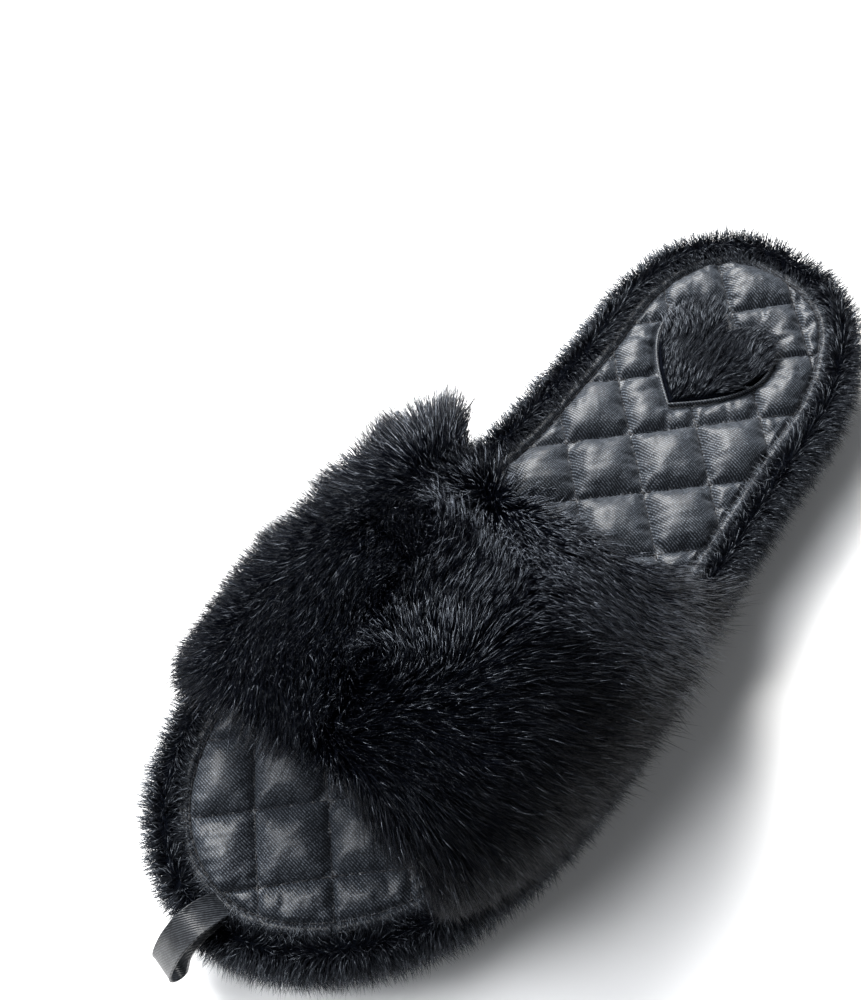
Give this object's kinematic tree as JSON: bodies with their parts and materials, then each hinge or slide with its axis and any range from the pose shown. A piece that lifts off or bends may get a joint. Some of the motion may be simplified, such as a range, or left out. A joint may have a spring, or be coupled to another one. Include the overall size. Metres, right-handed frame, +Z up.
{
  "type": "house slipper",
  "caption": "Fluffy open-toe, open-back house slipper for the left foot: fur strap, quilted footbed with a fur heart, fur-covered platform, grooved rubber sole and ribbon hang loop.",
  "frame": {"origin": "on the ground, on the tread's flat face near its middle", "axes": "+Y from toe to heel, +X towards the little-toe side, +Z up"},
  "size_m": [0.1186, 0.2847, 0.092],
  "materials": {
    "outsole_rubber": "fine leather grain, matte",
    "eva_foam": "closed-cell foam, matte",
    "board": "pressed fibre board",
    "cushion_foam": "open-cell foam",
    "wadding": "polyester wadding",
    "satin_twill": "charcoal satin twill with a blue-grey sheen",
    "short_pile": "short black faux fur",
    "long_pile": "long glossy black faux fur",
    "lining_knit": "brushed knit",
    "thread": "twisted polyester thread",
    "satin_ribbon": "black satin ribbon, glossy"
  },
  "bodies": {
    "slipper": {"outsole": "outsole_rubber", "midsole": "eva_foam", "insole_board": "board", "comfort_foam": "cushion_foam", "quilt_wadding": "wadding", "quilted_sock": "satin_twill", "heart_inlay": "short_pile", "heart_edging": "satin_twill", "fur_wrap": "short_pile", "strap_lining": "lining_knit", "strap_padding": "cushion_foam", "strap_fur": "long_pile", "rim_stitching": "thread"},
    "ribbon": {"hang_loop": "satin_ribbon"}
  },
  "joints": [
    {"name": "loop_swing", "type": "hinge", "parent": "slipper", "child": "ribbon", "pos_m": [-0.008, -0.1236, 0.0321], "axis": [-0.9848, 0.1736, 0], "range_deg": [0, 90]}
  ]
}
